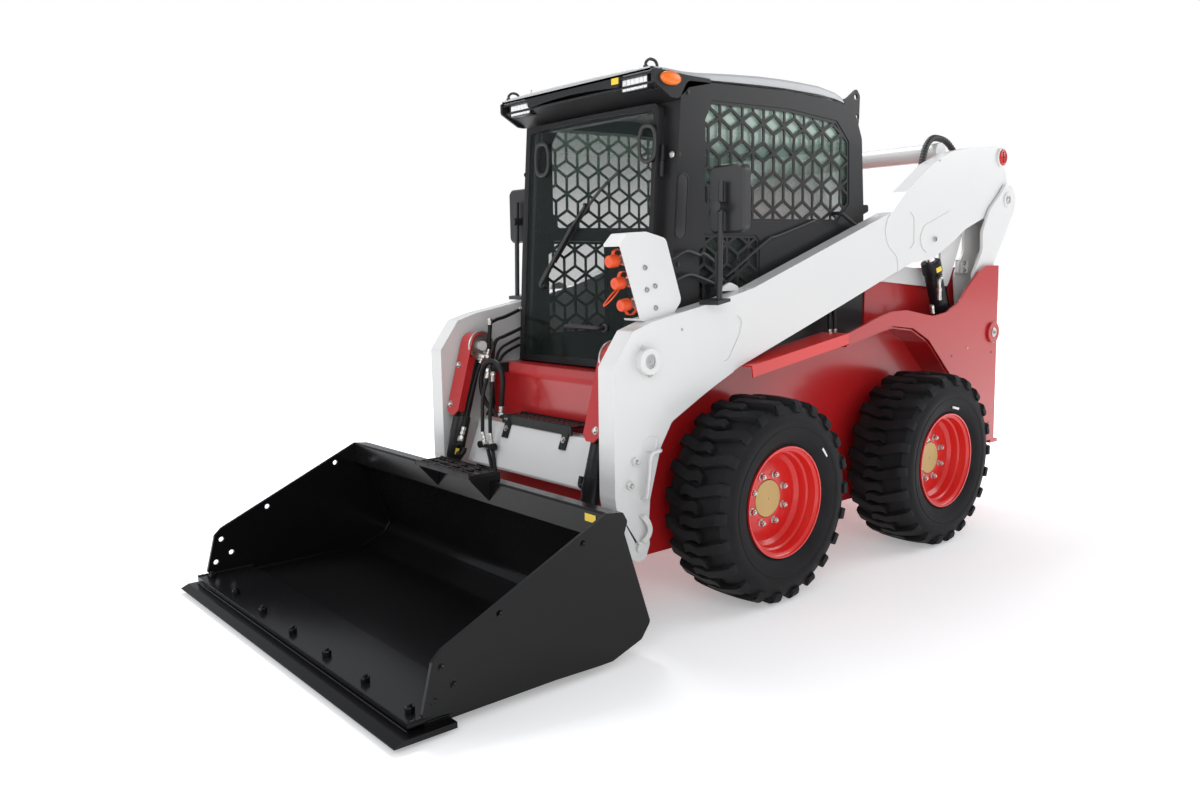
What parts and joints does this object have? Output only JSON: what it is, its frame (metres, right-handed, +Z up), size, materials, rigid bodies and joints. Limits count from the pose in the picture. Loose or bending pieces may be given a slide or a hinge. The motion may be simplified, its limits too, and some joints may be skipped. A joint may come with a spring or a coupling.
{
  "type": "skid steer loader",
  "caption": "Wheeled skid steer loader with a caged cab, vertical-lift arms, a smooth-edged front bucket, rear engine bay and lattice window guards.",
  "frame": {"origin": "centre of the bounding box at floor level, under the middle of the machine's length", "axes": "+X forward to the bucket, +Y to the driver's left, +Z up"},
  "size_m": [3.953, 1.834, 2.1357],
  "materials": {
    "tyre_black": "rough black rubber",
    "wheel_red": "gloss red paint",
    "deep_red": "satin deep red paint",
    "white": "gloss near-white paint",
    "black": "satin black paint",
    "bucket_black": "gloss black paint",
    "grey": "light grey paint",
    "glass": "clear tinted glass",
    "rod_chrome": "polished chrome",
    "seat_black": "matte black vinyl",
    "iron": "plain block",
    "lamp_clear": "clear lens",
    "lamp_orange": "orange lens",
    "coupler_red": "orange-red caps",
    "mirror": "black mirror shell",
    "plastic": "black plastic"
  },
  "bodies": {
    "chassis": {"axle_housings": "deep_red", "cab_floor": "black", "cab_front": "black", "cab_glass": "glass", "cab_rear": "black", "cab_roof": "grey", "cab_sides": "black", "chassis_tub": "deep_red", "controls": "plastic", "engine": "iron", "engine_hood": "deep_red", "fixed_hinges": "black", "front_panel": "deep_red", "marker_lamps": "lamp_orange", "rear_bumper": "deep_red", "roof_ears": "black", "seat_base": "plastic", "seat_cushions": "seat_black", "side_steps": "wheel_red", "tower_plates": "deep_red", "tower_walls": "deep_red", "visor": "black", "window_grilles": "black", "work_lamps": "lamp_clear"},
    "rear_links": {"rear_links": "white"},
    "arms": {"arm_left": "white", "arm_right": "white", "arm_cross_members": "white", "front_step": "black", "coupler_guard": "white", "quick_couplers": "coupler_red", "mirrors": "mirror", "tail_lamps": "coupler_red"},
    "control_links": {"control_links": "white"},
    "lift_barrels": {"lift_barrels": "white"},
    "lift_rods": {"lift_rods": "rod_chrome"},
    "tilt_barrels": {"tilt_barrels": "white", "tilt_guards": "deep_red"},
    "tilt_rods": {"tilt_rods": "rod_chrome"},
    "bucket": {"bucket_coupler": "bucket_black", "bucket_shell": "bucket_black", "bucket_sides": "bucket_black", "cutting_edges": "bucket_black", "bucket_step": "bucket_black"},
    "cab_door": {"door_frame": "black", "door_glass": "glass"},
    "rear_door": {"tailgate": "deep_red"},
    "wheel_front_left": {"tyre_front_left": "tyre_black", "wheel_front_left": "wheel_red"},
    "wheel_front_right": {"tyre_front_right": "tyre_black", "wheel_front_right": "wheel_red"},
    "wheel_rear_left": {"tyre_rear_left": "tyre_black", "wheel_rear_left": "wheel_red"},
    "wheel_rear_right": {"tyre_rear_right": "tyre_black", "wheel_rear_right": "wheel_red"}
  },
  "joints": [
    {"name": "link_swing", "type": "hinge", "parent": "chassis", "child": "rear_links", "pos_m": [-1.73951, 0, 0.96886], "axis": [0, -1, 0], "range_deg": [-11.3, 0]},
    {"name": "arm_lift", "type": "hinge", "parent": "rear_links", "child": "arms", "pos_m": [-1.88651, 0, 1.66386], "axis": [0, -1, 0], "range_deg": [0, 67.2]},
    {"name": "control_swing", "type": "hinge", "parent": "chassis", "child": "control_links", "pos_m": [-0.8945, 0, 1.29486], "axis": [0, -1, 0], "range_deg": [-66.08, 0]},
    {"name": "lift_cylinder_swing", "type": "hinge", "parent": "chassis", "child": "lift_barrels", "pos_m": [-1.5495, 0, 0.65486], "axis": [0, -1, 0], "range_deg": [0, 9.93]},
    {"name": "lift_rod_slide", "type": "slide", "parent": "lift_barrels", "child": "lift_rods", "axis": [0.3992, 0, 0.9169], "range_m": [0, 0.6472]},
    {"name": "bucket_tilt", "type": "hinge", "parent": "arms", "child": "bucket", "pos_m": [0.79049, 0, 0.29686], "axis": [0, 1, 0], "range_deg": [-25, 95]},
    {"name": "tilt_cylinder_swing", "type": "hinge", "parent": "arms", "child": "tilt_barrels", "pos_m": [0.7505, 0, 0.99186], "axis": [0, 1, 0], "range_deg": [-2.85, 10.55]},
    {"name": "tilt_rod_slide", "type": "slide", "parent": "tilt_barrels", "child": "tilt_rods", "axis": [0.2728, 0, -0.9621], "range_m": [-0.0485, 0.1829]},
    {"name": "door_swing", "type": "hinge", "parent": "chassis", "child": "cab_door", "pos_m": [0.49197, 0.439, 1.41186], "axis": [-0.0656, 0, 0.9978], "range_deg": [0, 80]},
    {"name": "rear_door_swing", "type": "hinge", "parent": "chassis", "child": "rear_door", "pos_m": [-1.78851, 0.502, 0.81186], "axis": [0, 0, -1], "range_deg": [0, 90]},
    {"name": "wheel_spin_front_left", "type": "hinge", "parent": "chassis", "child": "wheel_front_left", "pos_m": [0.21749, 0.732, 0.41186], "axis": [0, 1, 0], "continuous": true},
    {"name": "wheel_spin_front_right", "type": "hinge", "parent": "chassis", "child": "wheel_front_right", "pos_m": [0.21749, -0.732, 0.41186], "axis": [0, 1, 0], "continuous": true},
    {"name": "wheel_spin_rear_left", "type": "hinge", "parent": "chassis", "child": "wheel_rear_left", "pos_m": [-0.9765, 0.732, 0.41186], "axis": [0, 1, 0], "continuous": true},
    {"name": "wheel_spin_rear_right", "type": "hinge", "parent": "chassis", "child": "wheel_rear_right", "pos_m": [-0.9765, -0.732, 0.41186], "axis": [0, 1, 0], "continuous": true}
  ],
  "couplings": [
    {"joint": "link_swing", "follows": "arm_lift", "ratio": -0.16667},
    {"joint": "control_swing", "follows": "arm_lift", "ratio": -0.9818},
    {"joint": "lift_cylinder_swing", "follows": "arm_lift", "ratio": 0.14624},
    {"joint": "lift_rod_slide", "follows": "arm_lift", "m_per_rad": 0.55138},
    {"joint": "tilt_cylinder_swing", "follows": "bucket_tilt", "ratio": 0.11},
    {"joint": "tilt_rod_slide", "follows": "bucket_tilt", "m_per_rad": 0.11}
  ]
}
